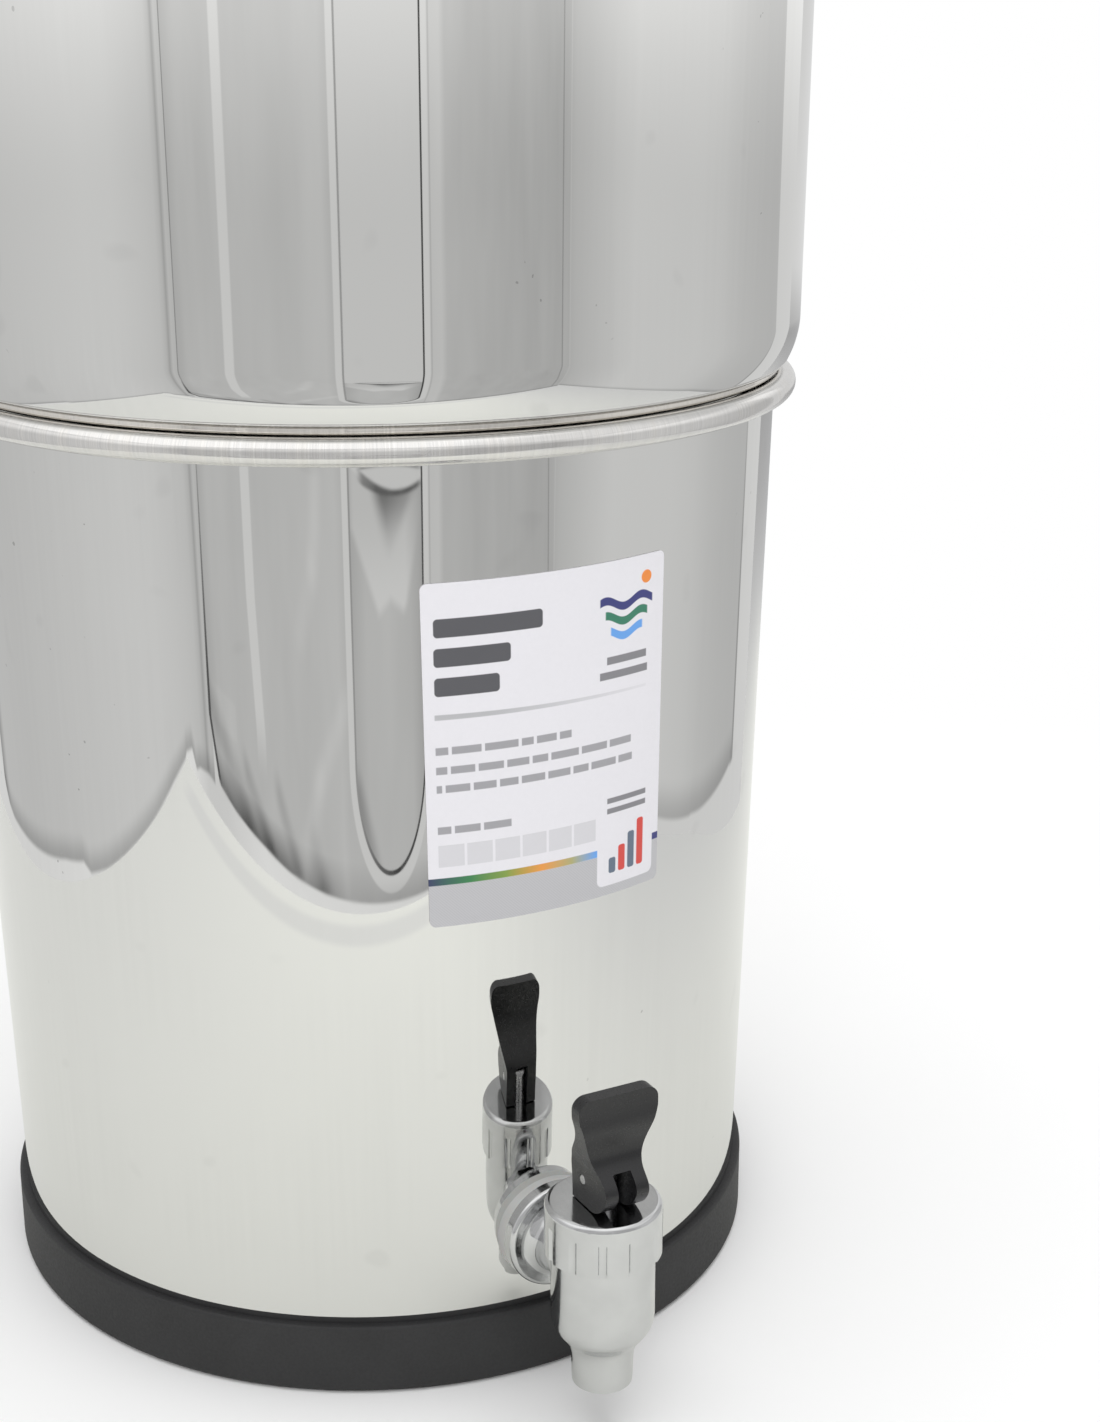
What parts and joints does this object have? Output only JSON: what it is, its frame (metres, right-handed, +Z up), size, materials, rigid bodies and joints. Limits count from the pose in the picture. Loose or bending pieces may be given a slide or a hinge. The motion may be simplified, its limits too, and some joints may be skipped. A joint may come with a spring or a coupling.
{
  "type": "gravity water filter with tap",
  "caption": "Stacked stainless chambers with filter candles inside, domed lid with knob, and a lever tap near the base.",
  "frame": {"origin": "on the chambers' axis, at the surface the base ring stands on", "axes": "+Z up along the chambers' axis, -Y towards the tap and the label, +X to the right as seen from behind the tap's user"},
  "size_m": [0.233, 0.2536, 0.4815],
  "materials": {
    "polished_steel": "mirror polished stainless sheet",
    "tap_metal": "polished chromed metal",
    "label_film": "white laminated film",
    "black_rubber": "matte black rubber",
    "silicone": "translucent white silicone",
    "white_plastic": "moulded white plastic",
    "black_plastic": "moulded black plastic",
    "ceramic": "unglazed porous white ceramic",
    "fastener_steel": "plain stainless"
  },
  "bodies": {
    "lower": {"lower_chamber": "polished_steel", "base_ring": "black_rubber", "label": "label_film", "tap_body": "tap_metal", "tap_outer_washer": "silicone", "tap_inner_washer": "silicone", "tap_backnut": "white_plastic", "tap_bonnet": "tap_metal", "tap_bonnet_gasket": "silicone"},
    "valve": {"tap_stem": "fastener_steel", "tap_seat_cup": "silicone", "tap_spring": "fastener_steel"},
    "lever": {"tap_lever": "black_plastic", "tap_pivot_pin": "fastener_steel"},
    "upper": {"upper_chamber": "polished_steel", "candle_1_ceramic": "ceramic", "candle_1_mount": "white_plastic", "candle_1_seal": "black_rubber", "candle_1_wing_nut": "white_plastic", "blanking_plug_1": "black_plastic", "blanking_plug_1_seal": "black_rubber", "blanking_plug_1_wing_nut": "white_plastic", "candle_2_ceramic": "ceramic", "candle_2_mount": "white_plastic", "candle_2_seal": "black_rubber", "candle_2_wing_nut": "white_plastic", "blanking_plug_2": "black_plastic", "blanking_plug_2_seal": "black_rubber", "blanking_plug_2_wing_nut": "white_plastic"},
    "cover": {"lid": "polished_steel", "lid_knob": "black_plastic", "lid_knob_washer": "fastener_steel", "lid_knob_screw": "fastener_steel"}
  },
  "joints": [
    {"name": "lid_lift", "type": "slide", "parent": "upper", "child": "cover", "axis": [0, 0, 1], "range_m": [0, 0.06]},
    {"name": "upper_lift", "type": "slide", "parent": "lower", "child": "upper", "axis": [0, 0, 1], "range_m": [0, 0.06]},
    {"name": "valve_lift", "type": "slide", "parent": "lower", "child": "valve", "axis": [0, 0, 1], "range_m": [0, 0.004], "stiffness_N_per_m": 400, "springref_m": -0.003, "deforming": ["tap_spring"]},
    {"name": "lever_tilt", "type": "hinge", "parent": "valve", "child": "lever", "pos_m": [0, -0.12355, 0.0648], "axis": [1, 0, 0], "range_deg": [0, 65]}
  ],
  "couplings": [
    {"joint": "lever_tilt", "follows": "valve_lift", "rad_per_m": 283.59}
  ]
}
